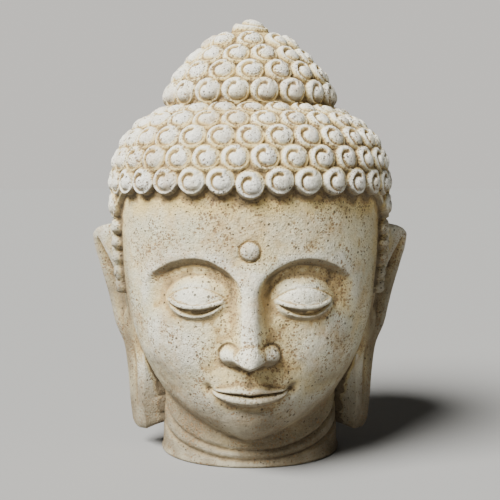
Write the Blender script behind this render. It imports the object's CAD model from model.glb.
import math
import bpy
import numpy as np
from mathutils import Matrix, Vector


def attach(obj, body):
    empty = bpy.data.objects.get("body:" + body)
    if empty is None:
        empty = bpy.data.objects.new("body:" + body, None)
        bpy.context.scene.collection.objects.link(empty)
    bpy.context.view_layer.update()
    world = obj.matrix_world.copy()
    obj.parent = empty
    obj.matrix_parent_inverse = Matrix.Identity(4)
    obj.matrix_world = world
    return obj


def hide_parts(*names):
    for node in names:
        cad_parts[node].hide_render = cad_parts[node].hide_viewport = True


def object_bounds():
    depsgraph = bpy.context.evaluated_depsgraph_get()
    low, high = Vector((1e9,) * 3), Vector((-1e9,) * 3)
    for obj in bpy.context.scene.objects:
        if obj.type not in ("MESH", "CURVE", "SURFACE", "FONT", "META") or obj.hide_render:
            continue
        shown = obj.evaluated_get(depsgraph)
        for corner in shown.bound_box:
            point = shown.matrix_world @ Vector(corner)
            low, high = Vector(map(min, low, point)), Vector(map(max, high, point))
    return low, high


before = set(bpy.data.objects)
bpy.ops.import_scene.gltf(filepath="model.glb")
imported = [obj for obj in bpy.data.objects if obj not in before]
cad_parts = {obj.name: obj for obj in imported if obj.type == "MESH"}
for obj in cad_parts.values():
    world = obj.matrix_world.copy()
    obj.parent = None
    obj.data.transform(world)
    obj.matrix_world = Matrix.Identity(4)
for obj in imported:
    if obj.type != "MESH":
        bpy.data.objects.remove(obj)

bounds_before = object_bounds()
NODE = "buddha_head"
MM = 0.001

# Sizes, in millimetres: of the underside, of the round of its rim, and of the head at the hairline
NECK_WIDTH = 177.0
NECK_DEPTH = 170.0
EDGE_ROUND = 3.0
HEAD_HALF_WIDTH = 128.0

# Levels of the face: three equal bands from hairline to chin
HAIRLINE = 253.0
CHIN = 28.0
BAND = (HAIRLINE - CHIN) / 3
BROW = HAIRLINE - BAND
NOSE = BROW - BAND
MOUTH = NOSE - BAND / 3
EYE = BROW - BAND * 0.28
NAPE = 52.0
# The face's relief is worked out below the first level, and the neck's below the second
FACE_TOP = HAIRLINE + 5
NECK_TOP = CHIN + 40

# Horizontal sections of the skull: level, half width, depth in front of the axis, depth behind it
SECTIONS = (
    (0, 2, 2, 2),
    (20, 6, 60, 50),
    (26, 22, 84, 62),
    (32, 40, 95, 72),
    (40, 56, 104, 79),
    (50, 71, 111, 85),
    (65, 86, 116, 92),
    (85, 99, 119, 101),
    (110, 110.5, 121.5, 112),
    (150, 121, 124.5, 126),
    (190, 125.5, 126.5, 133),
    (225, 127.5, 127, 136),
    (HAIRLINE, HEAD_HALF_WIDTH, 125.5, 136),
    (272, 127, 122.5, 134.5),
    (286, 123.5, 118, 130.5),
    (298, 117.5, 112, 124),
    (308, 109.5, 104.5, 115.5),
    (316.5, 99, 94.5, 104.5),
    (322.5, 88, 84.5, 93),
    (327.5, 78, 75, 82.5),
    (335, 74.5, 71.5, 78.5),
    (346, 75, 72, 79),
    (352, 72, 69.5, 76),
    (360, 67, 65, 71),
    (368, 61, 59.5, 65),
    (376, 53.5, 52.5, 57),
    (384, 45, 44.5, 48),
    (391, 36.5, 36, 38.5),
    (397, 29, 28.5, 30),
    (401.5, 20, 20, 21),
    (404, 10, 10, 10.5),
    (404.6, 4, 4, 4),
)
# Squareness of a section: 2 is an ellipse
SQUARENESS = 2.15
NECK_SQUARENESS = 2.1
WAIST = 327.5
JAW_FILLET = 4.0

# The neck: level, then half width, depth in front of the axis or depth behind it
NECK_HALF_WIDTHS = ((0, NECK_WIDTH / 2), (30, 86), (70, 84), (120, 82))
NECK_FRONTS = ((0, NECK_DEPTH / 2), (22, 83), (70, 80), (120, 76))
NECK_BACKS = ((0, NECK_DEPTH / 2), (30, 84), (70, 84), (120, 84))
# Levels where the neck begins to fade inside the skull and where it is gone
NECK_FADE = (110, 140)
# The two folds round the neck: level in front and climb towards the sides
NECK_FOLDS = ((7, 27), (15.5, 38))
FOLD_DEPTH = 2.8
FOLD_WIDTH = 2.2
# They fade round the side, by one less the cosine of the angle from the front
FOLD_FADE = (0.85, 1.25)

# Hair
HAIR_STEP = 5.0
FRONT_DIP = 3.5
CURLS_ROUND = 33
# A curl's radius as a share of the pitch
CURL_SHARE = 0.53
ROWS_IN_CAP = 5
TOPKNOT_ROWS = (345.5, 361.5, 376.5, 391)
# Rows lie closer than the curls in a row
NEST = 0.785
# Rows that end at the hair's edge start this far inside it, in radii of a curl
OPEN_ROW_INSET = 0.95
CURL_RISE = 6.5
LAST_CURL_RADIUS = 18.0
LAST_CURL_RISE = 9.6
SIDEBURN_TOP = 220.0
SIDEBURN_FOOT = 162.0
SIDEBURN_RADIUS = 7.8
SIDEBURN_PITCH = 14.5
SIDEBURN_RISE = 4.9
SIDEBURN_COLUMNS = 3
# The first column's distance from the hair's edge and the next ones' spacing, in radii of their curls
SIDEBURN_INSET = 0.9
SIDEBURN_SPACING = 1.7
# The form's distance from the axis at the sideburns
SIDE_RADIUS = 118.0
# No full curl stands under or behind the ear between these levels, where the angle from the front has a
# larger sine and a smaller cosine than these
CURLS_CLEAR = (60, 208)
EAR_SINE = 0.94
EAR_COSINE = 0.02
# None stands before the ear either, from this far below the sideburn to this far over it, where the angle
# has a larger cosine than this
SIDEBURN_ROOM = (8, 6)
SIDEBURN_COSINE = -0.1
# The ramps by which the hair's bed rises from its edge, a curl's rim covers the skin, and a curl may hang
# over that edge
BED_EDGE = (3.5, 6.0)
CURL_EDGE = (0.0, 1.6)
CURL_OVERHANG = (-4.0, -2.0)
# The hair's lower edge: degrees from the front, level
HAIR_EDGE = (
    (0, HAIRLINE - FRONT_DIP),
    (9, HAIRLINE),
    (50, HAIRLINE - 1),
    (60, HAIRLINE - 6),
    (67, HAIRLINE - 17),
    (71.5, HAIRLINE - 38),
    (74, 185),
    (76, 160),
    (90, 156),
    (96, 110),
    (101, NAPE + 8),
    (112, NAPE),
    (180, NAPE - 3),
)

# Ears: level, then the front root (x, y), the outer edge (x, y) and the rear root (x, y) of the section
EAR_SECTIONS = (
    (17.5, 106, -6, 113, -1, 104, 4),
    (20, 102, -16, 117, 4, 98, 13),
    (26, 101.5, -21.5, 120, 7, 86, 22),
    (48, 103.5, -24.5, 122.5, 9, 82, 30),
    (75, 102.5, -25.5, 125, 12, 90, 36),
    (100, 104, -25, 129, 17, 100, 42),
    (130, 112, -23, 137, 24, 112, 48),
    (155, 117, -20, 144, 29, 118, 50),
    (180, 121, -15, 152, 32, 121, 50),
    (200, 123, -12, 157.5, 31, 122, 48),
    (210, 124, -10, 158, 28, 122, 45),
    (215, 125, -7, 155, 24, 122, 40),
    (219, 126, -2, 148, 18, 122, 33),
    (221.5, 126, 2, 138, 13, 122, 27),
)
EAR_THICKNESS = 11.0
EAR_RIM = 4.5
EAR_HOLLOW = 8.0
# The ear's relief: levels, and shares of the way out from its front root to its outer edge
EAR_RIM_LEVELS = (95, 125)
EAR_RIM_SHARES = (0.74, 0.88)
EAR_SHELL_LEVELS = (112, 146)
EAR_ROOF_LEVELS = (196, 208)
EAR_CROWN = 206.0
# The roof of the shell and the crown of the rim come down this far towards the front
EAR_FALL = 50
EAR_FOLD = 172.0
EAR_FOLD_RISE = 3.6
EAR_RIDGE = 150.0
EAR_RIDGE_RISE = 3.0
EAR_RIDGE_SLOPE = 52
LOBE_GROOVE = 1.5
LOBE_GROOVE_FOOT = (30, 46)
LOBE_GROOVE_TOP = (88, 112)
# The round of the outer rim, as a share of half its thickness
EAR_BULGE = 0.6
# Where the lobe's inner side runs into the neck, how deep that side is, and how much its foot is rounded
LOBE_ROOT = (80.0, -2.0)
LOBE_DEPTH = 18.0
LOBE_LIFT = 9.0
LOBE_TUCK = 4.0
LOBE_FOOT_Y = -1.0

# Wear, in millimetres: what is gone everywhere, then the depth and the size of lumps, and their seed
WEAR = 0.75
WEAR_FINE = (0.20, 3.2, 2)
WEAR_LUMPS = (0.28, 9.0, 1)
WEAR_BROAD = (0.45, 42.0, 3)
WEAR_FOOT = (1.0, 13.0, 5)
# The level of the foot's wear, and how far it reaches from there
FOOT_WEAR_LEVEL = 8
FOOT_WEAR_REACH = 8
# Levels where the wear begins over the underside and where it is full
WEAR_LEVELS = (1.0, 6.0)
# The wear of the ears, as a share, and the way it goes in
EAR_WEAR = 0.6
EAR_WEAR_WAY = (0.55, -0.83, 0.0)

# Stone, from clean to dirty
STONE_PALE = (0.77, 0.72, 0.50, 1.0)
STONE_GREY = (0.58, 0.57, 0.42, 1.0)
STONE_BEIGE = (0.62, 0.48, 0.25, 1.0)
CREST_WHITE = (0.95, 0.94, 0.86, 1.0)
BLEACHED = (0.99, 0.91, 0.62, 1.0)
OCHRE = (0.76, 0.56, 0.19, 1.0)
GROOVE_BROWN = (0.42, 0.27, 0.10, 1.0)
RUST = (0.46, 0.28, 0.10, 1.0)
GRIME = (0.165, 0.128, 0.073, 1.0)
GRAIN_DARK = (0.30, 0.26, 0.18, 1.0)
SPECK = (0.24, 0.15, 0.07, 1.0)
PORE = (0.07, 0.05, 0.03, 1.0)

# Clouds of a coat of colour: lumps to the metre, detail and roughness of the noise, the noise where the
# coat begins and where it is full, and its least and its most
GREY_CLOUD = (17.0, 5.0, 0.55, 0.36, 0.64, 0.0, 1.0)
BEIGE_CLOUD = (75.0, 4.0, 0.55, 0.48, 0.68, 0.0, 1.0)
CREST_CLOUD = (60.0, 3.0, 0.55, 0.3, 0.6, 0.55, 1.0)
BED_CLOUD = (40.0, 3.0, 0.55, 0.3, 0.62, 0.6, 1.0)
RUST_CLOUD = (19.0, 5.0, 0.6, 0.47, 0.66, 0.0, 1.0)
RUST_MOTTLE = (170.0, 3.0, 0.6, 0.38, 0.62, 0.35, 1.0)
GRIME_CLOUD = (30.0, 4.0, 0.55, 0.25, 0.65, 0.7, 1.0)
GRAIN_CLOUD = (640.0, 3.0, 0.65, 0.40, 0.68, 0.0, 1.0)
SPECK_CLOUD = (27.0, 5.0, 0.65, 0.40, 0.60, 0.6, 1.45)
ROUGHNESS_CLOUD = (300.0, 3.0, 0.55, 0.3, 0.7, 0.80, 0.96)

# How strong each coat is at its most
BEIGE_COAT = 0.5
BLEACHED_COAT = 0.8
GROOVE_COAT = 0.75
RUST_COAT = 0.55
EAR_DIRT_COAT = 0.9
GRAIN_COAT = 0.36
SPECK_COAT = 0.85
PORE_COAT = 0.85
DEEP_COAT = 0.65
# The same on the skin and in the hair
CREST_COATS = (0.45, 0.92)
BED_COATS = (0.62, 0.95)

# Heights, in metres, where something begins and where it is full
HAIR_HEIGHTS = (0.225, 0.25)
BLEACHED_HEIGHTS = (0.25, 0.34)
EAR_DIRT_HEIGHTS = (0.25, 0.15)
FOOT_DIRT_HEIGHTS = (0.11, 0.04)
# The same for the distance from the middle plane, and for how far the surface faces down
EAR_DIRT_WIDTHS = (0.105, 0.122)
UNDER_SLOPES = (-0.1, -0.65)
# The same for the depth below the surroundings, in millimetres, negative on what stands out
CREST_DEPTHS = (-0.6, -2.0)
BED_DEPTHS = (-1.5, 0.5)
GROOVE_DEPTHS = (0.02, 0.26)
DEEP_DEPTHS = (0.28, 0.9)

# Round spots: the size of their cells and the widest radius, in metres, how rare that is, and the
# channel of the cell's colour that picks their size
WIDE_SPECKS = (0.0031, 0.0013, 1.1, 2)
FINE_SPECKS = (0.0018, 0.0008, 0.9, 1)
WIDE_PORES = (0.0058, 0.0016, 3.0, 0)
FINE_PORES = (0.0027, 0.0010, 3.0, 0)
# The soft edge of a spot as a share of its widest radius
SPOT_EDGE = 0.35
# Specks are smaller on bleached crests: the crest's coat where that begins and ends, and the two sizes
SPECKS_ON_CRESTS = (0.1, 0.7, 1.0, 0.72)
# Spots are bent out of round: lumps to the metre, and the bend in metres
BEND_NOISE = 500.0
BEND = 0.0016

# Roughness of the surface: lumps to the metre, detail and roughness of the noise
FINE_BUMPS = (800.0, 3.0, 0.55)
COARSE_BUMPS = (260.0, 4.0, 0.65)
FINE_BUMP_HEIGHT = 0.6
COARSE_BUMP_HEIGHT = 1.9
PORE_SINK = 1.6
# A speck sinks this share of a pore
SPECK_SINK = 0.4
BUMP_STRENGTH = 0.8
BUMP_DISTANCE = 0.0012

# How finely the surface is carved
FACE_NET = 0.85
HAIR_NET = 1.15
FACE_NET_ANGLE = 58.0
# The form's distance from the axis, where the nets have the spacing that they name
NET_RADIUS = 125.0
# How far the fine net reaches below the mouth and over the brow
NET_BELOW_MOUTH = 30.0
NET_OVER_BROW = 36.0
# The net ends this close to the top, and its lowest rows have these levels
NET_END = 0.3
FOOT_ROWS = (0, 0.3, 0.8, 1.5, 2.2)
# Columns of an ear's net over its front, its rim and its rear
EAR_COLUMNS = (46, 12, 16)
# Its rows: the height and the number of those at the foot and at the top, and the spacing between
EAR_FOOT_ROWS = (10.0, 22)
EAR_TOP_ROWS = (12.0, 26)
EAR_ROW_SPACING = 1.1
TRIANGLES = 185000
# Rounds of smoothing that the near and the wide surroundings of a vertex are found with
NEAR_ROUNDS = 6
WIDE_ROUNDS = 40


def curve_through(points):
    """A smooth curve through points with rising x, with no overshoot."""
    x, y = np.array(points, dtype=float).T
    slopes = np.diff(y) / np.diff(x)
    before, after = slopes[:-1], slopes[1:]
    product = before * after
    total = np.where(product > 0, before + after, 1.0)
    inner = np.where(product > 0, 2 * product / total, 0.0)
    tangents = np.concatenate([slopes[:1], inner, slopes[-1:]])

    def at(value):
        value = np.clip(value, x[0], x[-1])
        i = np.clip(np.searchsorted(x, value, side="left") - 1, 0, len(slopes) - 1)
        span = x[i + 1] - x[i]
        s = (value - x[i]) / span
        rest = 1 - s
        start = y[i] * (1 + 2 * s) * rest**2 + tangents[i] * span * s * rest**2
        end = y[i + 1] * s * s * (3 - 2 * s) - tangents[i + 1] * span * s * s * rest
        return start + end

    return at


def smoothstep(value, low, high):
    s = np.clip((value - low) / (high - low), 0, 1)
    return s * s * (3 - 2 * s)


def bell(value):
    return np.exp(-value * value)


def dome(q, power):
    return np.maximum(0, 1 - q * q) ** power


def mix(a, b, share):
    return a + (b - a) * share


# The place up the outline: the level up to the hairline, and the length along the outline above it
places_of_sections = []
for i, (level, width, _, _) in enumerate(SECTIONS):
    if level <= HAIRLINE:
        places_of_sections.append(float(level))
    else:
        climb = math.hypot(level - SECTIONS[i - 1][0], width - SECTIONS[i - 1][1])
        places_of_sections.append(places_of_sections[-1] + climb)
level_at, width_at, front_at, back_at = (
    curve_through([(place, row[n]) for place, row in zip(places_of_sections, SECTIONS)]) for n in range(4)
)
WAIST_PLACE = places_of_sections[[row[0] for row in SECTIONS].index(WAIST)]
TOP_PLACE = places_of_sections[-1]
place_at = curve_through([(row[0], place) for place, row in zip(places_of_sections, SECTIONS)])
neck_width_at = curve_through(NECK_HALF_WIDTHS)
neck_front_at = curve_through(NECK_FRONTS)
neck_back_at = curve_through(NECK_BACKS)
hair_edge_at = curve_through([(math.radians(degrees), level) for degrees, level in HAIR_EDGE])


def section_radius(angle, width, front, back, squareness):
    depth = np.where(np.cos(angle) > 0, front, back)
    across = np.abs(np.sin(angle)) / width
    through = np.abs(np.cos(angle)) / depth
    return (across**squareness + through**squareness) ** (-1 / squareness)


def form(angle, place):
    """The bare form of skull, jaw and neck at angles from the front and places up the outline."""
    angle, place = np.broadcast_arrays(angle, place)
    level = level_at(place)
    skull = section_radius(angle, width_at(place), front_at(place), back_at(place), SQUARENESS)
    neck_sizes = neck_width_at(level), neck_front_at(level), neck_back_at(level)
    neck = section_radius(angle, *neck_sizes, NECK_SQUARENESS)
    neck = neck * (1 - smoothstep(level, *NECK_FADE))
    drop = np.maximum(0, EDGE_ROUND - level)
    rim = EDGE_ROUND - np.sqrt(EDGE_ROUND**2 - drop**2)
    radius = (skull + neck + np.hypot(skull - neck, JAW_FILLET)) / 2 - rim
    return np.stack([radius * np.sin(angle), -radius * np.cos(angle), level], axis=-1)


def unit(vectors):
    return vectors / np.linalg.norm(vectors, axis=-1, keepdims=True)


def normal_at(angle, place):
    turn, climb = 0.004, 0.4
    inside = np.minimum(place, TOP_PLACE - climb)
    around = form(angle + turn, inside) - form(angle - turn, inside)
    up = form(angle, inside + climb) - form(angle, np.maximum(inside - climb, 0))
    normal = unit(np.cross(around, up))
    on_top = np.broadcast_to(np.asarray(place) >= TOP_PLACE, normal.shape[:-1])
    return np.where(on_top[..., None], np.array([0.0, 0.0, 1.0]), normal)


def hair_distance(angle, place):
    """Distance into the hair from its lower edge, negative on the skin."""
    turned = np.abs(np.arctan2(np.sin(angle), np.cos(angle)))
    step = 0.01
    slope = (hair_edge_at(turned + step) - hair_edge_at(turned - step)) / (2 * step * HEAD_HALF_WIDTH)
    return (place - hair_edge_at(turned)) / np.hypot(1, slope)


# The face: how far the carving stands out from the bare form at x across and z up
BROW_X = 50.0
BROW_TOP = 18.0
# How far each side of the brow falls, and over what width
BROW_INNER = (20.0, 41.0)
BROW_OUTER = (17.0, 42.0)
SOCKET_DEPTH = 8.0
# Across the face, and down from the brow line, where the socket begins and where it fades out
SOCKET_INNER = (6, 20)
SOCKET_OUTER = (74, 98)
SOCKET_ROOF = (-1, 7)
SOCKET_FLOOR = (12, 50)
EYE_HALF = 24.0
EYE_X = 48.0
BALL_RISE = 8.5
BALL_HALF = (31.0, 20.0)
BALL_LIFT = 4.0
# How far the edges of the lids hang below the eye's corners
UPPER_LID_SAG = 5.0
LOWER_LID_SAG = 10.5
LID_RIM = 1.7
LID_SLIT = 2.4
LID_LIP = 0.8
LID_LIP_DROP = 2.0
LID_LIP_WIDTH = 1.6
LID_CREASE = 1.1
LID_CREASE_LIFT = 13.5
LID_CREASE_BEND = 8.0
LID_CREASE_WIDTH = 0.9
# The nose: its height at the root and what it gains down to the tip
NOSE_ROOT = 8.0
NOSE_GAIN = 17.5
# Its half width: at the brow, what it gains down to the tip, and what it gains as it runs into the brow
NOSE_HALF = 10.5
NOSE_SPREAD = 7.5
NOSE_FLARE = 9.0
NOSE_TIP = 6.0
NOSE_TIP_HALF = (12.5, 13.0)
NOSE_TIP_LIFT = 8.0
WING_RISE = 11.5
WING_X = 15.0
WING_HALF = (12.0, 10.5)
WING_LIFT = 9.0
WING_CREASE = 1.6
# The power that the nose and its wings run together with; a higher one keeps them apart
WING_BLEND = 2.6
MOUTH_HALF = 36.0
MOUTH_CURVE = 1.8
MOUTH_MOUND = 6.0
MOUTH_MOUND_HALF = (52.0, 31.0)
UPPER_LIP_HEIGHT = 8.6
LOWER_LIP_HEIGHT = 11.8
UPPER_LIP_RISE = 5.2
LOWER_LIP_RISE = 6.6
LIP_SEAM = 2.2
LIP_CORNER = 3.0
BELOW_LIP = 3.8
LIP_FURROW = 1.7
CHIN_RISE = 5.0
CHIN_LIFT = 19.0
CHIN_HALF = (27.0, 20.0)
CHEEK_RISE = 4.0
CHEEK_X = 66.0
CHEEK_LIFT = 14.0
CHEEK_HALF = (40.0, 42.0)
# The round mark over the brows
MARK_LIFT = 24.5
MARK_RADIUS = 8.4
MARK_RISE = 3.4
MARK_RING = 0.9


def brow_line(ax):
    inner = BROW + BROW_TOP - BROW_INNER[0] * ((BROW_X - ax) / BROW_INNER[1]) ** 2
    outer = BROW + BROW_TOP - BROW_OUTER[0] * ((ax - BROW_X) / BROW_OUTER[1]) ** 2
    return np.where(ax < BROW_X, inner, outer)


def socket_relief(ax, z):
    below = brow_line(ax) - z
    window = smoothstep(ax, *SOCKET_INNER) * (1 - smoothstep(ax, *SOCKET_OUTER))
    return -SOCKET_DEPTH * window * smoothstep(below, *SOCKET_ROOF) * (1 - smoothstep(below, *SOCKET_FLOOR))


def eye_relief(ax, z):
    s = (ax - EYE_X) / EYE_HALF
    ball_place = np.hypot((ax - EYE_X) / BALL_HALF[0], (z - EYE - BALL_LIFT) / BALL_HALF[1])
    ball = BALL_RISE * dome(ball_place, 1.15)
    hang = np.maximum(0, 1 - s * s)
    upper = EYE - UPPER_LID_SAG * hang
    lower = EYE - LOWER_LID_SAG * hang
    reach = smoothstep(1.12 - np.abs(s), 0, 0.15)
    above = smoothstep(z, upper - 0.4, upper + 0.5) * (1 - smoothstep(z, upper + 3, upper + 4.2))
    rim = LID_RIM * reach * above
    gap = smoothstep(z, lower - 1, lower + 1) * (1 - smoothstep(z, upper - 1, upper))
    slit = -LID_SLIT * smoothstep(hang, 0, 0.25) * gap
    lip = LID_LIP * reach * bell((z - lower + LID_LIP_DROP) / LID_LIP_WIDTH)
    over_crease = z - EYE - LID_CREASE_LIFT + LID_CREASE_BEND * s * s
    crease = -LID_CREASE * smoothstep(1.25 - np.abs(s), 0, 0.3) * bell(over_crease / LID_CREASE_WIDTH)
    return ball + rim + slit + lip + crease


def nose_relief(ax, z):
    v = np.clip((z - NOSE) / (BROW - NOSE), -0.3, 1.3)
    height = NOSE_ROOT + NOSE_GAIN * np.maximum(0, 1 - v) ** 1.1
    half = NOSE_HALF + NOSE_SPREAD * (1 - np.clip(v, 0, 1)) + NOSE_FLARE * smoothstep(v, 0.8, 1.15)
    root = 1 - smoothstep(v, 0.9, 1.25)
    under = smoothstep(z - 0.3 * ax, NOSE - 5, NOSE + 5) ** 0.7
    bridge = height * np.exp(-((ax / half / 0.85) ** 2.4)) * root * under
    tip_place = np.hypot(ax / NOSE_TIP_HALF[0], (z - NOSE - NOSE_TIP_LIFT) / NOSE_TIP_HALF[1])
    tip = NOSE_TIP * dome(tip_place, 1)
    wing_place = np.hypot((ax - WING_X) / WING_HALF[0], (z - NOSE - WING_LIFT) / WING_HALF[1])
    wing = WING_RISE * dome(wing_place, 0.8)
    crease_span = smoothstep(z, NOSE + 3, NOSE + 14) * smoothstep(ax, 6, 14)
    crease = WING_CREASE * bell((wing_place - 0.98) / 0.14) * crease_span
    return ((bridge + tip) ** WING_BLEND + wing**WING_BLEND) ** (1 / WING_BLEND) - crease


def mouth_relief(ax, z):
    q = np.minimum(1, ax / MOUTH_HALF)
    bow = MOUTH + MOUTH_CURVE * q * q
    seam = bow - 0.9 * bell(ax / 7)
    arch = bow + UPPER_LIP_HEIGHT * (1 - q**1.6)
    upper = arch - 1.9 * bell(ax / 4.5) + 0.8 * bell((ax - 9.5) / 5.5)
    lower = bow - LOWER_LIP_HEIGHT * (1 - q**2.1)
    mound_place = np.hypot(ax / MOUTH_MOUND_HALF[0], (z - MOUTH) / MOUTH_MOUND_HALF[1])
    mound = MOUTH_MOUND * dome(mound_place, 1.6)
    u = np.clip((z - seam) / np.maximum(0.5, upper - seam), 0, 1)
    w = np.clip((seam - z) / np.maximum(0.5, seam - lower), 0, 1)
    fullness = 1 - q**3
    upper_lip = UPPER_LIP_RISE * fullness * np.abs(np.sin(np.pi * u**0.72)) ** 0.8
    lower_lip = LOWER_LIP_RISE * fullness * np.abs(np.sin(np.pi * w**0.85)) ** 0.8
    lips = np.where(z > seam, upper_lip, lower_lip)
    line = -LIP_SEAM * bell((z - seam) / 1.5) * (1 - smoothstep(ax, MOUTH_HALF, MOUTH_HALF + 5))
    corner = -LIP_CORNER * bell(np.hypot(ax - MOUTH_HALF - 1.5, z - seam - 1) / 5)
    below = -BELOW_LIP * bell(ax / 22) * bell((z - lower + 5) / 6)
    span = smoothstep(z, upper - 2, upper + 3) * (1 - smoothstep(z, NOSE - 6, NOSE - 1))
    groove = -LIP_FURROW * bell(ax / 3.6) * span
    return mound + lips + line + corner + below + groove


def face_relief(x, z):
    ax = np.abs(x)
    from_chin = np.hypot(ax / CHIN_HALF[0], (z - CHIN - CHIN_LIFT) / CHIN_HALF[1])
    chin = CHIN_RISE * dome(from_chin, 1.4)
    from_cheek = np.hypot((ax - CHEEK_X) / CHEEK_HALF[0], (z - NOSE - CHEEK_LIFT) / CHEEK_HALF[1])
    cheeks = CHEEK_RISE * dome(from_cheek, 1.5)
    from_mark = np.hypot(x, z - BROW - MARK_LIFT) / MARK_RADIUS
    mark = MARK_RISE * dome(from_mark, 0.45) - MARK_RING * bell((from_mark - 1.08) / 0.13)
    features = socket_relief(ax, z) + eye_relief(ax, z) + nose_relief(ax, z) + mouth_relief(ax, z)
    return features + chin + cheeks + mark


def neck_relief(angle, level):
    """Two soft folds round the neck, low in front and higher at the sides."""
    lift = 1 - np.cos(angle)
    folds = sum(bell((level - front - climb * lift) / FOLD_WIDTH) for front, climb in NECK_FOLDS)
    return -FOLD_DEPTH * folds * (1 - smoothstep(lift, *FOLD_FADE))


def skin_relief(angle, place, points):
    on_face = (np.cos(angle) > 0) & (place < FACE_TOP)
    face = np.where(on_face, face_relief(points[..., 0], points[..., 2]), 0)
    facing = smoothstep(np.cos(angle), 0.05, 0.3)
    neck = np.where(place < NECK_TOP, neck_relief(angle, points[..., 2]), 0)
    return face * facing + neck


# Curls: where each one stands, how wide it is and how it is turned
def stations_round(place, start, end):
    steps = 720
    angles = np.linspace(start, end, steps + 1)
    points = form(angles, place)
    lengths = np.concatenate([[0], np.cumsum(np.linalg.norm(np.diff(points, axis=0), axis=-1))])
    return lengths[-1], lambda length: float(np.interp(length, lengths, angles))


def hair_start(place, inset):
    degrees = np.radians(np.arange(40, 180, 0.25))
    inside = hair_distance(degrees, place) > inset
    return float(degrees[inside.argmax()])


CURL_PITCH = stations_round(HAIRLINE, 0, 2 * math.pi)[0] / CURLS_ROUND
CURL_RADIUS = CURL_PITCH * CURL_SHARE


def full_row(place, phase):
    total, angle_at = stations_round(place, 0, 2 * math.pi)
    count = round(total / CURL_PITCH)
    dips = place < HAIRLINE + CURL_RADIUS
    curls = []
    for i in range(count):
        dip = FRONT_DIP if dips and i == 0 else 0
        curls.append((angle_at((i + phase) * total / count), place - dip, CURL_RADIUS, CURL_RISE))
    return curls


def open_row(place, odd):
    start = hair_start(place, CURL_RADIUS * OPEN_ROW_INSET)
    total, angle_at = stations_round(place, start, 2 * math.pi - start)
    gaps = 2 * math.floor((total / CURL_PITCH - odd) / 2 + 0.5) + odd
    return [(angle_at(i * total / gaps), place, CURL_RADIUS, CURL_RISE) for i in range(gaps + 1)]


def sideburn():
    """Staggered columns of small curls in front of each ear."""
    curls = []
    length = SIDEBURN_TOP - SIDEBURN_FOOT
    count = round(length / SIDEBURN_PITCH)
    for column in range(SIDEBURN_COLUMNS):
        odd = column % 2
        inset = SIDEBURN_RADIUS * (SIDEBURN_INSET + SIDEBURN_SPACING * column)
        for i in range(count + 1 - odd):
            place = SIDEBURN_TOP - (i + odd / 2) * length / count
            angle = hair_start(place, 0) + inset / SIDE_RADIUS
            curls += [(turned, place, SIDEBURN_RADIUS, SIDEBURN_RISE) for turned in (angle, -angle)]
    return curls


def hidden(angle, place):
    """Full curls have no room under the ears or in front of them."""
    sideways = abs(math.sin(angle)) > EAR_SINE and math.cos(angle) < EAR_COSINE
    beside_ear = CURLS_CLEAR[0] < place < CURLS_CLEAR[1] and sideways
    by_sideburn = SIDEBURN_FOOT - SIDEBURN_ROOM[0] < place < SIDEBURN_TOP + SIDEBURN_ROOM[1]
    return beside_ear or by_sideburn and math.cos(angle) > SIDEBURN_COSINE


def all_curls():
    curls = []
    pitch = (WAIST_PLACE - HAIRLINE) / ROWS_IN_CAP
    for i in range(ROWS_IN_CAP):
        curls += full_row(HAIRLINE + (i + 0.5) * pitch, (i % 2) / 2)
    highest, lowest = HAIRLINE + pitch / 2, NAPE + CURL_RADIUS
    rows = round((HAIRLINE - pitch / 2 - lowest) / (CURL_PITCH * NEST))
    for i in range(1, rows + 1):
        curls += open_row(mix(highest, lowest, i / rows), i % 2)
    for i, level in enumerate(TOPKNOT_ROWS):
        curls += full_row(float(place_at(level)), ((i + 1) % 2) / 2)
    curls = [curl for curl in curls if not hidden(curl[0], curl[1])]
    return curls + sideburn() + [(0.0, TOP_PLACE, LAST_CURL_RADIUS, LAST_CURL_RISE)]


random = np.random.default_rng(7)
# How much the curls differ in height, as a share, and in turn, in radians
RISE_SPREAD = 0.06
TURN_SPREAD = 0.2
# How far inside a curl a point counts that is far from all of them, in millimetres
FAR_OUTSIDE = -5.0

# A snail curl: places and widths as shares of its radius, heights as shares of its rise
CURL_CROWN = 1.12
BODY_POWERS = (2.6, 0.75)
KNOB_CENTRE = (0.06, -0.07)
KNOB_RADIUS = 0.45
KNOB_RISE = 0.12
ROLL_RISE = 0.16
ROLL_END = 1.02
COIL_CENTRE = (0.03, -0.04)
COIL_START = math.radians(62)
# The coil's groove: its first distance from the middle and what it gains in 0.9 of a turn
TRACK_START = 0.34
TRACK_GAIN = 0.42
TRACK_TURN = 1.8 * math.pi
# Its width and depth, at its start and at its end
GROOVE_WIDTHS = (0.14, 0.10)
GROOVE_SINKS = (0.42, 0.34)
# The turns, in radians, over which it begins, grows narrower, grows shallower and ends
GROOVE_BEGINS = (0.0, 0.45)
GROOVE_NARROWS = (0.2, 1.1 * math.pi)
GROOVE_SHALLOWS = (0.5, 1.3 * math.pi)
GROOVE_ENDS = (1.55 * math.pi, 1.9 * math.pi)
# How far a curl is worked out, up and down and all round, in its radii
CURL_ROWS = 1.6
CURL_REACH = 1.3
# Keeps the middle of a curl from a division by nothing
TINY = 1e-9


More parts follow.
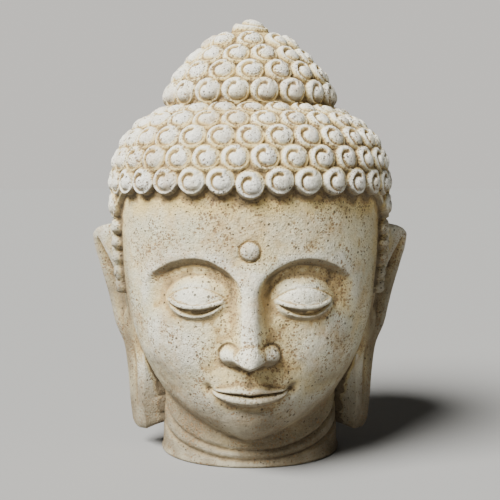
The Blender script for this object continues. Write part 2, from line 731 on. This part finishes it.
def curl_height(across, up, rise):
    """A snail-shell curl: a domed coil with a groove that winds out from near its middle."""
    q = np.hypot(across, up)
    rise = rise / CURL_CROWN
    body = rise * np.maximum(0, 1 - q ** BODY_POWERS[0]) ** BODY_POWERS[1]
    knob_q = np.hypot(across - KNOB_CENTRE[0], up - KNOB_CENTRE[1])
    wound = np.mod(np.arctan2(up - COIL_CENTRE[1], across - COIL_CENTRE[0]) - COIL_START, 2 * math.pi)
    track = TRACK_START + TRACK_GAIN * (wound / TRACK_TURN) ** 0.8
    width = mix(*GROOVE_WIDTHS, smoothstep(wound, *GROOVE_NARROWS))
    sink = mix(*GROOVE_SINKS, smoothstep(wound, *GROOVE_SHALLOWS))
    present = smoothstep(wound, *GROOVE_BEGINS) * (1 - smoothstep(wound, *GROOVE_ENDS))
    groove = -sink * present * bell((knob_q - track) / width)
    band = np.clip((q - track) / (ROLL_END - track), 0, 1)
    roll = ROLL_RISE * np.sin(math.pi * band) * (q > track)
    middle = KNOB_RISE * dome(np.minimum(knob_q / KNOB_RADIUS, 1), 1)
    return np.maximum(0, body + rise * (groove + roll + middle) * (q < 1))


# Numbers that scramble a cell's place into its value, and half the range of that value
CELL_STEPS = np.array([73856093, 19349663, 83492791])
SEED_STEP = 2654435761
SCRAMBLE = 1274126177
HALF_RANGE = 32767.5


def lattice_noise(points, size, seed):
    """Soft noise from -1 to 1 at points, with lumps of a given size."""
    scaled = points / size
    cell = np.floor(scaled).astype(np.int64)
    part = scaled - cell
    part = part * part * (3 - 2 * part)
    total = 0
    for corner in range(8):
        offset = np.array([corner & 1, (corner >> 1) & 1, corner >> 2])
        key = (cell + offset) @ CELL_STEPS + seed * SEED_STEP
        key = (key ^ (key >> 13)) * SCRAMBLE
        value = ((key ^ (key >> 16)) & 0xFFFF) / HALF_RANGE - 1
        weight = np.prod(np.where(offset == 1, part, 1 - part), axis=-1)
        total = total + value * weight
    return total


def wear(points):
    """How much the casting and the weather have taken off the surface, in millimetres."""

    def lumps(depth, size, seed):
        return depth * lattice_noise(points, size, seed)

    fine = lumps(*WEAR_FINE) + lumps(*WEAR_LUMPS)
    at_foot = bell((points[..., 2] - FOOT_WEAR_LEVEL) / FOOT_WEAR_REACH)
    return WEAR + fine + lumps(*WEAR_BROAD) + (1 + lumps(*WEAR_FOOT)) * at_foot


def stamp_curls(beds, places):
    """The height of the curls over their bed at each point of the net, and how far inside a curl it is."""
    rise = np.zeros(beds.shape[:-1])
    inside = np.full(beds.shape[:-1], FAR_OUTSIDE)
    for angle, place, radius, height in all_curls():
        out = normal_at(angle, place)
        centre = form(angle, place) + HAIR_STEP * out
        right = np.array([math.cos(angle), math.sin(angle), 0.0])
        up = np.cross(out, right)
        height = height * (1 + RISE_SPREAD * random.standard_normal())
        tilt = TURN_SPREAD * random.standard_normal()
        cosine, sine = math.cos(tilt), math.sin(tilt)
        right, up = right * cosine + up * sine, up * cosine - right * sine
        rows = np.abs(places - place) < radius * CURL_ROWS
        offset = beds[rows] - centre
        distance = np.linalg.norm(offset, axis=-1)
        flat = np.hypot(offset @ up, offset @ right) + TINY
        stretch = distance / flat / radius
        near = distance < radius * CURL_REACH
        stamp = np.where(near, curl_height(offset @ right * stretch, offset @ up * stretch, height), 0)
        rise[rows] = np.maximum(rise[rows], stamp)
        inside[rows] = np.maximum(inside[rows], np.where(near, radius - distance, FAR_OUTSIDE))
    return rise, inside


def steps_between(start, end, fine_start, fine_end, fine, coarse):
    """Places from start to end, closer together in the fine stretch."""
    stretches = ((start, fine_start, coarse), (fine_start, fine_end, fine), (fine_end, end, coarse))
    runs = [np.linspace(a, b, max(1, round((b - a) / step)), endpoint=False) for a, b, step in stretches]
    return np.concatenate(runs)


def skull_points(angles, places):
    angle, place = np.meshgrid(angles, places)
    bare = form(angle, place)
    normal = normal_at(angle, place)
    beds = bare + HAIR_STEP * normal
    rise, inside = stamp_curls(beds, places)
    edge = hair_distance(angle, place)
    curls = smoothstep(inside, *CURL_EDGE) * smoothstep(edge, *CURL_OVERHANG)
    cover = np.maximum(smoothstep(edge, *BED_EDGE), curls)
    skin = skin_relief(angle, place, bare)
    relief = mix(skin, HAIR_STEP + rise, cover)
    points = bare + relief[..., None] * normal
    hold = smoothstep(points[..., 2], *WEAR_LEVELS)
    return points - (wear(points) * hold)[..., None] * normal


def skull_mesh():
    fine = math.radians(FACE_NET_ANGLE)
    angles = steps_between(-math.pi, math.pi, -fine, fine, FACE_NET / NET_RADIUS, HAIR_NET / NET_RADIUS)
    fine_places = MOUTH - NET_BELOW_MOUTH, BROW + NET_OVER_BROW
    places = steps_between(EDGE_ROUND, TOP_PLACE - NET_END, *fine_places, FACE_NET, HAIR_NET)
    places = np.concatenate([FOOT_ROWS, places])
    net = skull_points(angles, places)
    around = len(angles)
    top = skull_points(np.zeros(1), np.array([TOP_PLACE]))[0, 0]
    points = np.concatenate([net.reshape(-1, 3), [[0, 0, 0], top]])
    bottom_index, top_index = len(points) - 2, len(points) - 1
    low = np.arange(len(places) - 1)[:, None] * around + np.arange(around)
    across = np.arange(len(places) - 1)[:, None] * around + (np.arange(around) + 1) % around
    first = np.stack([low, across, across + around], axis=-1).reshape(-1, 3)
    second = np.stack([low, across + around, low + around], axis=-1).reshape(-1, 3)
    rim, rim_next = np.arange(around), (np.arange(around) + 1) % around
    last = (len(places) - 1) * around
    bottom = np.stack([np.full(around, bottom_index), rim_next, rim], axis=-1)
    cap = np.stack([np.full(around, top_index), last + rim, last + rim_next], axis=-1)
    return points, np.concatenate([first, second, bottom, cap]).tolist()


# Ears: closed lofts of horizontal sections
ear_columns = [curve_through([(row[0], row[n]) for row in EAR_SECTIONS]) for n in range(1, 7)]


def ear_relief(u, level):
    high = smoothstep(level, *EAR_RIM_LEVELS)
    rim = EAR_RIM * high * smoothstep(u, *EAR_RIM_SHARES)
    fall = np.clip((0.85 - u) / 0.7, 0, 1) ** 1.3
    crown = EAR_RIM * smoothstep(level - (EAR_CROWN - EAR_FALL * fall), -4, 3)
    crown = crown * (1 - 0.5 * bell((u - 0.1) / 0.2))
    roof = 1 - smoothstep(level, *(limit - EAR_FALL * fall for limit in EAR_ROOF_LEVELS))
    shell = bell((u - 0.58) / 0.27) * smoothstep(level, *EAR_SHELL_LEVELS) * roof
    fold = EAR_FOLD_RISE * bell((level - EAR_FOLD - 8 * (u - 0.5)) / 4) * bell((u - 0.62) / 0.22)
    ridge = EAR_RIDGE_RISE * bell((level - EAR_RIDGE + EAR_RIDGE_SLOPE * (u - 0.25)) / 7)
    ridge = ridge * smoothstep(u, 0.1, 0.3) * (1 - smoothstep(u, 0.6, 0.8))
    groove = bell((u - 0.56) / 0.1) * smoothstep(level, *LOBE_GROOVE_FOOT)
    groove = groove * (1 - smoothstep(level, *LOBE_GROOVE_TOP))
    return np.maximum(rim, crown) - EAR_HOLLOW * shell + fold + ridge - LOBE_GROOVE * groove


def ear_levels():
    low, high = EAR_SECTIONS[0][0], EAR_SECTIONS[-1][0]
    foot, foot_rows = low + EAR_FOOT_ROWS[0], EAR_FOOT_ROWS[1]
    top, top_rows = high - EAR_TOP_ROWS[0], EAR_TOP_ROWS[1]
    between = np.arange(foot, top, EAR_ROW_SPACING)
    rows = [np.linspace(low, foot, foot_rows), between, np.linspace(top, high, top_rows)]
    return np.unique(np.concatenate(rows))


def ear_mesh(side):
    front_face, rim, rear = (np.linspace(i, i + 1, count) for i, count in enumerate(EAR_COLUMNS))
    across = np.concatenate([front_face, rim[1:], rear[1:]])
    levels = ear_levels()
    s, level = np.meshgrid(across, levels)
    front_x, front_y, out_x, out_y, rear_x, rear_y = (at(level) for at in ear_columns)
    front = np.stack([front_x, front_y], axis=-1)
    rear_root = np.stack([rear_x, rear_y], axis=-1)
    half = EAR_THICKNESS / 2
    bulge = half * EAR_BULGE
    run = np.stack([out_x, out_y], axis=-1) - front
    along = unit(run)
    run = run - bulge * along
    outer = front + run
    facing = np.stack([along[..., 1], -along[..., 0]], axis=-1)
    u = np.clip(s, 0, 1)[..., None]
    relief = ear_relief(u[..., 0], level)[..., None] * smoothstep(u, 0, 0.03)
    on_front = front + u * run + relief * facing
    turn = np.clip(s - 1, 0, 1)[..., None] * math.pi
    lift = ear_relief(np.ones_like(level), level)[..., None] * (1 - turn / math.pi)
    on_rim = outer + facing * (half * (np.cos(turn) - 1) + lift) + along * bulge * np.sin(turn)
    on_rear = mix(outer - 2 * half * facing, rear_root, np.clip(s - 2, 0, 1)[..., None])
    flat = np.where(s[..., None] <= 1, on_front, np.where(s[..., None] <= 2, on_rim, on_rear))
    lifted = 1 - smoothstep(levels, levels[0], levels[0] + LOBE_LIFT)
    inner_x = mix(LOBE_ROOT[0], ear_columns[0](levels) - LOBE_TUCK, lifted)
    inner_ends = LOBE_ROOT[1] + LOBE_DEPTH, LOBE_ROOT[1]
    inner = [np.stack([inner_x, mix(y, LOBE_FOOT_Y, lifted)], axis=-1) for y in inner_ends]
    flat = np.concatenate([flat, np.stack(inner, axis=1)], axis=1)
    around = flat.shape[1]
    points = np.concatenate([flat, np.broadcast_to(levels[:, None, None], (len(levels), around, 1))], axis=-1)
    points = points - EAR_WEAR * wear(points)[..., None] * np.array(EAR_WEAR_WAY)
    points = points.reshape(-1, 3) * np.array([side, 1, 1])
    index = np.arange(len(levels) - 1)[:, None] * around
    a = index + np.arange(around)
    b = index + (np.arange(around) + 1) % around
    halves = (a, b, b + around), (a, b + around, a + around)
    faces = np.concatenate([np.stack(corners, -1).reshape(-1, 3) for corners in halves])
    bottom = [list(range(around - 1, -1, -1))]
    top = [list(range((len(levels) - 1) * around, len(levels) * around))]
    polygons = faces.tolist() + bottom + top
    if side < 0:
        polygons = [polygon[::-1] for polygon in polygons]
    return points, polygons


def add_object(name, points, polygons):
    mesh = bpy.data.meshes.new(name)
    mesh.from_pydata((points * MM).tolist(), [], polygons)
    mesh.update()
    obj = bpy.data.objects.new(name, mesh)
    bpy.context.scene.collection.objects.link(obj)
    return obj


def fused(main, others, triangles):
    for other in others:
        join = main.modifiers.new("join", "BOOLEAN")
        join.operation = "UNION"
        join.solver = "MANIFOLD"
        join.object = other
    bpy.context.view_layer.update()
    graph = bpy.context.evaluated_depsgraph_get()
    whole = bpy.data.meshes.new_from_object(main.evaluated_get(graph))
    main.modifiers.clear()
    main.data = whole
    count = sum(len(polygon.vertices) - 2 for polygon in whole.polygons)
    thin = main.modifiers.new("thin", "DECIMATE")
    thin.ratio = min(1.0, triangles / count)
    thin.use_collapse_triangulate = True
    bpy.context.view_layer.update()
    graph = bpy.context.evaluated_depsgraph_get()
    main.data = bpy.data.meshes.new_from_object(main.evaluated_get(graph))
    main.modifiers.clear()
    for other in others:
        bpy.data.objects.remove(other)
    return main


def smoothed(values, edges, degree, rounds):
    for _ in range(rounds):
        total = np.zeros_like(values)
        np.add.at(total, edges[:, 0], values[edges[:, 1]])
        np.add.at(total, edges[:, 1], values[edges[:, 0]])
        values = 0.5 * values + 0.5 * total / degree
    return values


def add_hollow(mesh):
    """Stores how deep each vertex lies under its surroundings, in millimetres, near and wide."""
    count = len(mesh.vertices)
    points = np.empty(count * 3)
    mesh.vertices.foreach_get("co", points)
    points = points.reshape(-1, 3) / MM
    normals = np.empty(count * 3)
    mesh.vertices.foreach_get("normal", normals)
    normals = normals.reshape(-1, 3)
    edges = np.empty(len(mesh.edges) * 2, dtype=np.int32)
    mesh.edges.foreach_get("vertices", edges)
    edges = edges.reshape(-1, 2)
    degree = np.bincount(edges.ravel(), minlength=count)[:, None].astype(float)
    near = smoothed(points, edges, degree, NEAR_ROUNDS)
    wide = smoothed(near, edges, degree, WIDE_ROUNDS)
    for name, target in (("near_hollow", near), ("wide_hollow", wide)):
        depth = ((target - points) * normals).sum(axis=-1)
        attribute = mesh.attributes.new(name, "FLOAT", "POINT")
        attribute.data.foreach_set("value", depth.astype(np.float32))


def stone_material():
    material = bpy.data.materials.new("weathered_cast_stone")
    material.use_nodes = True
    tree = material.node_tree
    shader = tree.nodes["Principled BSDF"]
    link = tree.links.new

    def node(kind, **settings):
        made = tree.nodes.new(kind)
        for key, value in settings.items():
            setattr(made, key, value)
        return made

    def feed(socket, value):
        if isinstance(value, (int, float, tuple)):
            socket.default_value = value
        else:
            link(value, socket)

    def calc(operation, a, b):
        made = node("ShaderNodeMath", operation=operation)
        feed(made.inputs[0], a)
        feed(made.inputs[1], b)
        return made.outputs[0]

    def times(a, b):
        return calc("MULTIPLY", a, b)

    def highest(a, b):
        return calc("MAXIMUM", a, b)

    def ramp(source, low, high, start=0.0, end=1.0):
        made = node("ShaderNodeMapRange", interpolation_type="SMOOTHSTEP")
        for socket, value in zip(made.inputs, (source, low, high, start, end)):
            feed(socket, value)
        return made.outputs["Result"]

    def blend(factor, a, b):
        made = node("ShaderNodeMix", data_type="RGBA")
        for socket, value in ((made.inputs[0], factor), (made.inputs[6], a), (made.inputs[7], b)):
            feed(socket, value)
        return made.outputs[2]

    position = node("ShaderNodeTexCoord").outputs["Object"]

    def noise(scale, detail, roughness):
        made = node("ShaderNodeTexNoise")
        feed(made.inputs["Scale"], scale)
        feed(made.inputs["Detail"], detail)
        feed(made.inputs["Roughness"], roughness)
        link(position, made.inputs["Vector"])
        return made.outputs["Fac"]

    def cloud(scale, detail, roughness, low, high, least, most):
        return ramp(noise(scale, detail, roughness), low, high, least, most)

    def bent_position():
        """The position, shifted a little by noise, so that the bubble holes aren't round."""
        shift = node("ShaderNodeTexNoise")
        feed(shift.inputs["Scale"], BEND_NOISE)
        link(position, shift.inputs["Vector"])
        scaled = node("ShaderNodeVectorMath", operation="SCALE")
        feed(scaled.inputs["Scale"], BEND)
        link(shift.outputs["Color"], scaled.inputs[0])
        total = node("ShaderNodeVectorMath", operation="ADD")
        link(position, total.inputs[0])
        link(scaled.outputs[0], total.inputs[1])
        return total.outputs[0]

    def spots(vector, cell, widest, rarity, channel, share=1.0):
        """Round spots, one to a cell of a given size, few of them near the widest radius, in metres."""
        cells = node("ShaderNodeTexVoronoi", feature="F1")
        feed(cells.inputs["Scale"], 1.0 / cell)
        link(vector, cells.inputs["Vector"])
        split = node("ShaderNodeSeparateColor")
        link(cells.outputs["Color"], split.inputs["Color"])
        reach = times(calc("POWER", split.outputs[channel], rarity), widest / cell)
        reach = times(reach, share)
        return ramp(calc("SUBTRACT", reach, cells.outputs["Distance"]), 0.0, SPOT_EDGE * widest / cell)

    near = node("ShaderNodeAttribute", attribute_name="near_hollow").outputs["Fac"]
    wide = node("ShaderNodeAttribute", attribute_name="wide_hollow").outputs["Fac"]
    geometry = node("ShaderNodeNewGeometry")
    facing = node("ShaderNodeSeparateXYZ")
    link(geometry.outputs["Normal"], facing.inputs[0])
    place = node("ShaderNodeSeparateXYZ")
    link(position, place.inputs[0])

    colour = blend(cloud(*GREY_CLOUD), STONE_PALE, STONE_GREY)
    colour = blend(times(cloud(*BEIGE_CLOUD), BEIGE_COAT), colour, STONE_BEIGE)

    # Bleached towards the top and on what stands out, ochre and brown in the hollows
    in_hair = ramp(place.outputs["Z"], *HAIR_HEIGHTS)
    bleached = times(ramp(place.outputs["Z"], *BLEACHED_HEIGHTS), BLEACHED_COAT)
    colour = blend(bleached, colour, BLEACHED)
    crest = times(ramp(wide, *CREST_DEPTHS), cloud(*CREST_CLOUD))
    crest = times(crest, ramp(in_hair, 0.0, 1.0, *CREST_COATS))
    colour = blend(crest, colour, CREST_WHITE)
    bed = times(ramp(wide, *BED_DEPTHS), cloud(*BED_CLOUD))
    colour = blend(times(bed, ramp(in_hair, 0.0, 1.0, *BED_COATS)), colour, OCHRE)
    colour = blend(times(ramp(near, *GROOVE_DEPTHS), GROOVE_COAT), colour, GROOVE_BROWN)

    # Rust in patches, and grime about the ears, at the foot and on what faces down
    rust = times(cloud(*RUST_CLOUD), cloud(*RUST_MOTTLE))
    colour = blend(times(rust, RUST_COAT), colour, RUST)
    outward = ramp(calc("ABSOLUTE", place.outputs["X"], 0.0), *EAR_DIRT_WIDTHS)
    on_ears = times(times(outward, ramp(place.outputs["Z"], *EAR_DIRT_HEIGHTS)), EAR_DIRT_COAT)
    low = highest(ramp(place.outputs["Z"], *FOOT_DIRT_HEIGHTS), ramp(facing.outputs["Z"], *UNDER_SLOPES))
    low = highest(low, on_ears)
    colour = blend(times(low, cloud(*GRIME_CLOUD)), colour, GRIME)

    # Dark grain, specks and bubble holes
    colour = blend(times(cloud(*GRAIN_CLOUD), GRAIN_COAT), colour, GRAIN_DARK)
    bent = bent_position()
    crowding = times(cloud(*SPECK_CLOUD), ramp(crest, *SPECKS_ON_CRESTS))
    specks = highest(spots(bent, *WIDE_SPECKS, crowding), spots(bent, *FINE_SPECKS, crowding))
    colour = blend(times(specks, SPECK_COAT), colour, SPECK)
    pores = highest(spots(bent, *WIDE_PORES), spots(bent, *FINE_PORES))
    colour = blend(times(pores, PORE_COAT), colour, PORE)
    colour = blend(times(ramp(near, *DEEP_DEPTHS), DEEP_COAT), colour, PORE)
    link(colour, shader.inputs["Base Color"])
    link(cloud(*ROUGHNESS_CLOUD), shader.inputs["Roughness"])

    fine_bumps = times(noise(*FINE_BUMPS), FINE_BUMP_HEIGHT)
    rough = calc("ADD", fine_bumps, times(noise(*COARSE_BUMPS), COARSE_BUMP_HEIGHT))
    holes = times(highest(pores, times(specks, SPECK_SINK)), PORE_SINK)
    height = calc("SUBTRACT", rough, holes)
    bump = node("ShaderNodeBump")
    feed(bump.inputs["Strength"], BUMP_STRENGTH)
    feed(bump.inputs["Distance"], BUMP_DISTANCE)
    link(height, bump.inputs["Height"])
    link(bump.outputs["Normal"], shader.inputs["Normal"])
    return material


def keep_inside_box(mesh):
    """Presses the few curl tips that stand past the solid's own box back to its sides."""
    points = np.empty(3 * len(mesh.vertices))
    mesh.vertices.foreach_get("co", points)
    points = np.clip(points.reshape(-1, 3), *bounds_before)
    mesh.vertices.foreach_set("co", points.ravel())
    mesh.update()


def build_head():
    skull = add_object("carved_head", *skull_mesh())
    ears = [add_object(f"ear_{name}", *ear_mesh(side)) for name, side in (("left", 1), ("right", -1))]
    head = fused(skull, ears, TRIANGLES)
    keep_inside_box(head.data)
    head.data.polygons.foreach_set("use_smooth", np.ones(len(head.data.polygons), dtype=bool))
    add_hollow(head.data)
    head.data.materials.clear()
    head.data.materials.append(stone_material())
    return head


head = build_head()
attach(head, "root")
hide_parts(NODE)

# The photograph's view, in metres, and its lens, in millimetres
VIEW_DISTANCE = 0.95
VIEW_ELEVATION = math.radians(4.0)
VIEW_TARGET = Vector((0.0, 0.0, 0.1953))
LENS = 68.98
SENSOR = 36.0

# The key light: where it comes from, its strength, its softness in degrees and its colour
KEY_PLACE = (-1.0, -0.93, 1.5)
KEY_STRENGTH = 10.4
KEY_SOFTNESS = 34
KEY_COLOUR = (1.0, 0.985, 0.945)
# The light from all round, and the backdrop with the heights of its direction where it begins and is full
AMBIENT = 0.03
BACKDROP = 0.755
BACKDROP_BEHIND = (0.84, 0.92)
ROOM_COLOUR = (1.0, 0.97, 0.92, 1.0)
FLOOR = (0.30, 0.30, 0.297, 1.0)
FLOOR_ROUGHNESS = 0.9
FLOOR_HALF = 40.0


def add_camera():
    camera = bpy.data.objects.new("camera", bpy.data.cameras.new("camera"))
    bpy.context.scene.collection.objects.link(camera)
    camera.data.sensor_width = SENSOR
    camera.data.lens = LENS
    back = Vector((0.0, -math.cos(VIEW_ELEVATION), math.sin(VIEW_ELEVATION)))
    camera.location = VIEW_TARGET + back * VIEW_DISTANCE
    camera.rotation_euler = (-back).to_track_quat("-Z", "Y").to_euler()
    bpy.context.scene.camera = camera


def add_sun(name, source, strength, softness, colour):
    """A distant soft light that shines from a point towards the head."""
    sun = bpy.data.objects.new(name, bpy.data.lights.new(name, "SUN"))
    bpy.context.scene.collection.objects.link(sun)
    sun.data.energy = strength
    sun.data.angle = math.radians(softness)
    sun.data.color = colour
    sun.location = source
    sun.rotation_euler = Vector(source).to_track_quat("Z", "Y").to_euler()


def add_floor():
    mesh = bpy.data.meshes.new("floor")
    corners = [(x * FLOOR_HALF, y * FLOOR_HALF, 0) for x, y in ((-1, -1), (1, -1), (1, 1), (-1, 1))]
    mesh.from_pydata(corners, [], [(0, 1, 2, 3)])
    floor = bpy.data.objects.new("floor", mesh)
    bpy.context.scene.collection.objects.link(floor)
    material = bpy.data.materials.new("pale_floor")
    material.use_nodes = True
    shader = material.node_tree.nodes["Principled BSDF"]
    shader.inputs["Base Color"].default_value = FLOOR
    shader.inputs["Roughness"].default_value = FLOOR_ROUGHNESS
    mesh.materials.append(material)


def add_world():
    """Dim warm light from all round, and the pale backdrop that the camera sees behind the head."""
    world = bpy.data.worlds.new("studio")
    bpy.context.scene.world = world
    world.use_nodes = True
    tree = world.node_tree
    background = tree.nodes["Background"]
    direction = tree.nodes.new("ShaderNodeSeparateXYZ")
    coordinates = tree.nodes.new("ShaderNodeTexCoord")
    tree.links.new(coordinates.outputs["Generated"], direction.inputs[0])
    behind = tree.nodes.new("ShaderNodeMapRange")
    behind.interpolation_type = "SMOOTHSTEP"
    for socket, value in zip(behind.inputs[1:5], (*BACKDROP_BEHIND, AMBIENT, BACKDROP)):
        socket.default_value = value
    tree.links.new(direction.outputs["Y"], behind.inputs["Value"])
    tree.links.new(behind.outputs["Result"], background.inputs["Strength"])
    background.inputs["Color"].default_value = ROOM_COLOUR


add_camera()
add_floor()
add_sun("key", KEY_PLACE, KEY_STRENGTH, KEY_SOFTNESS, KEY_COLOUR)
add_world()
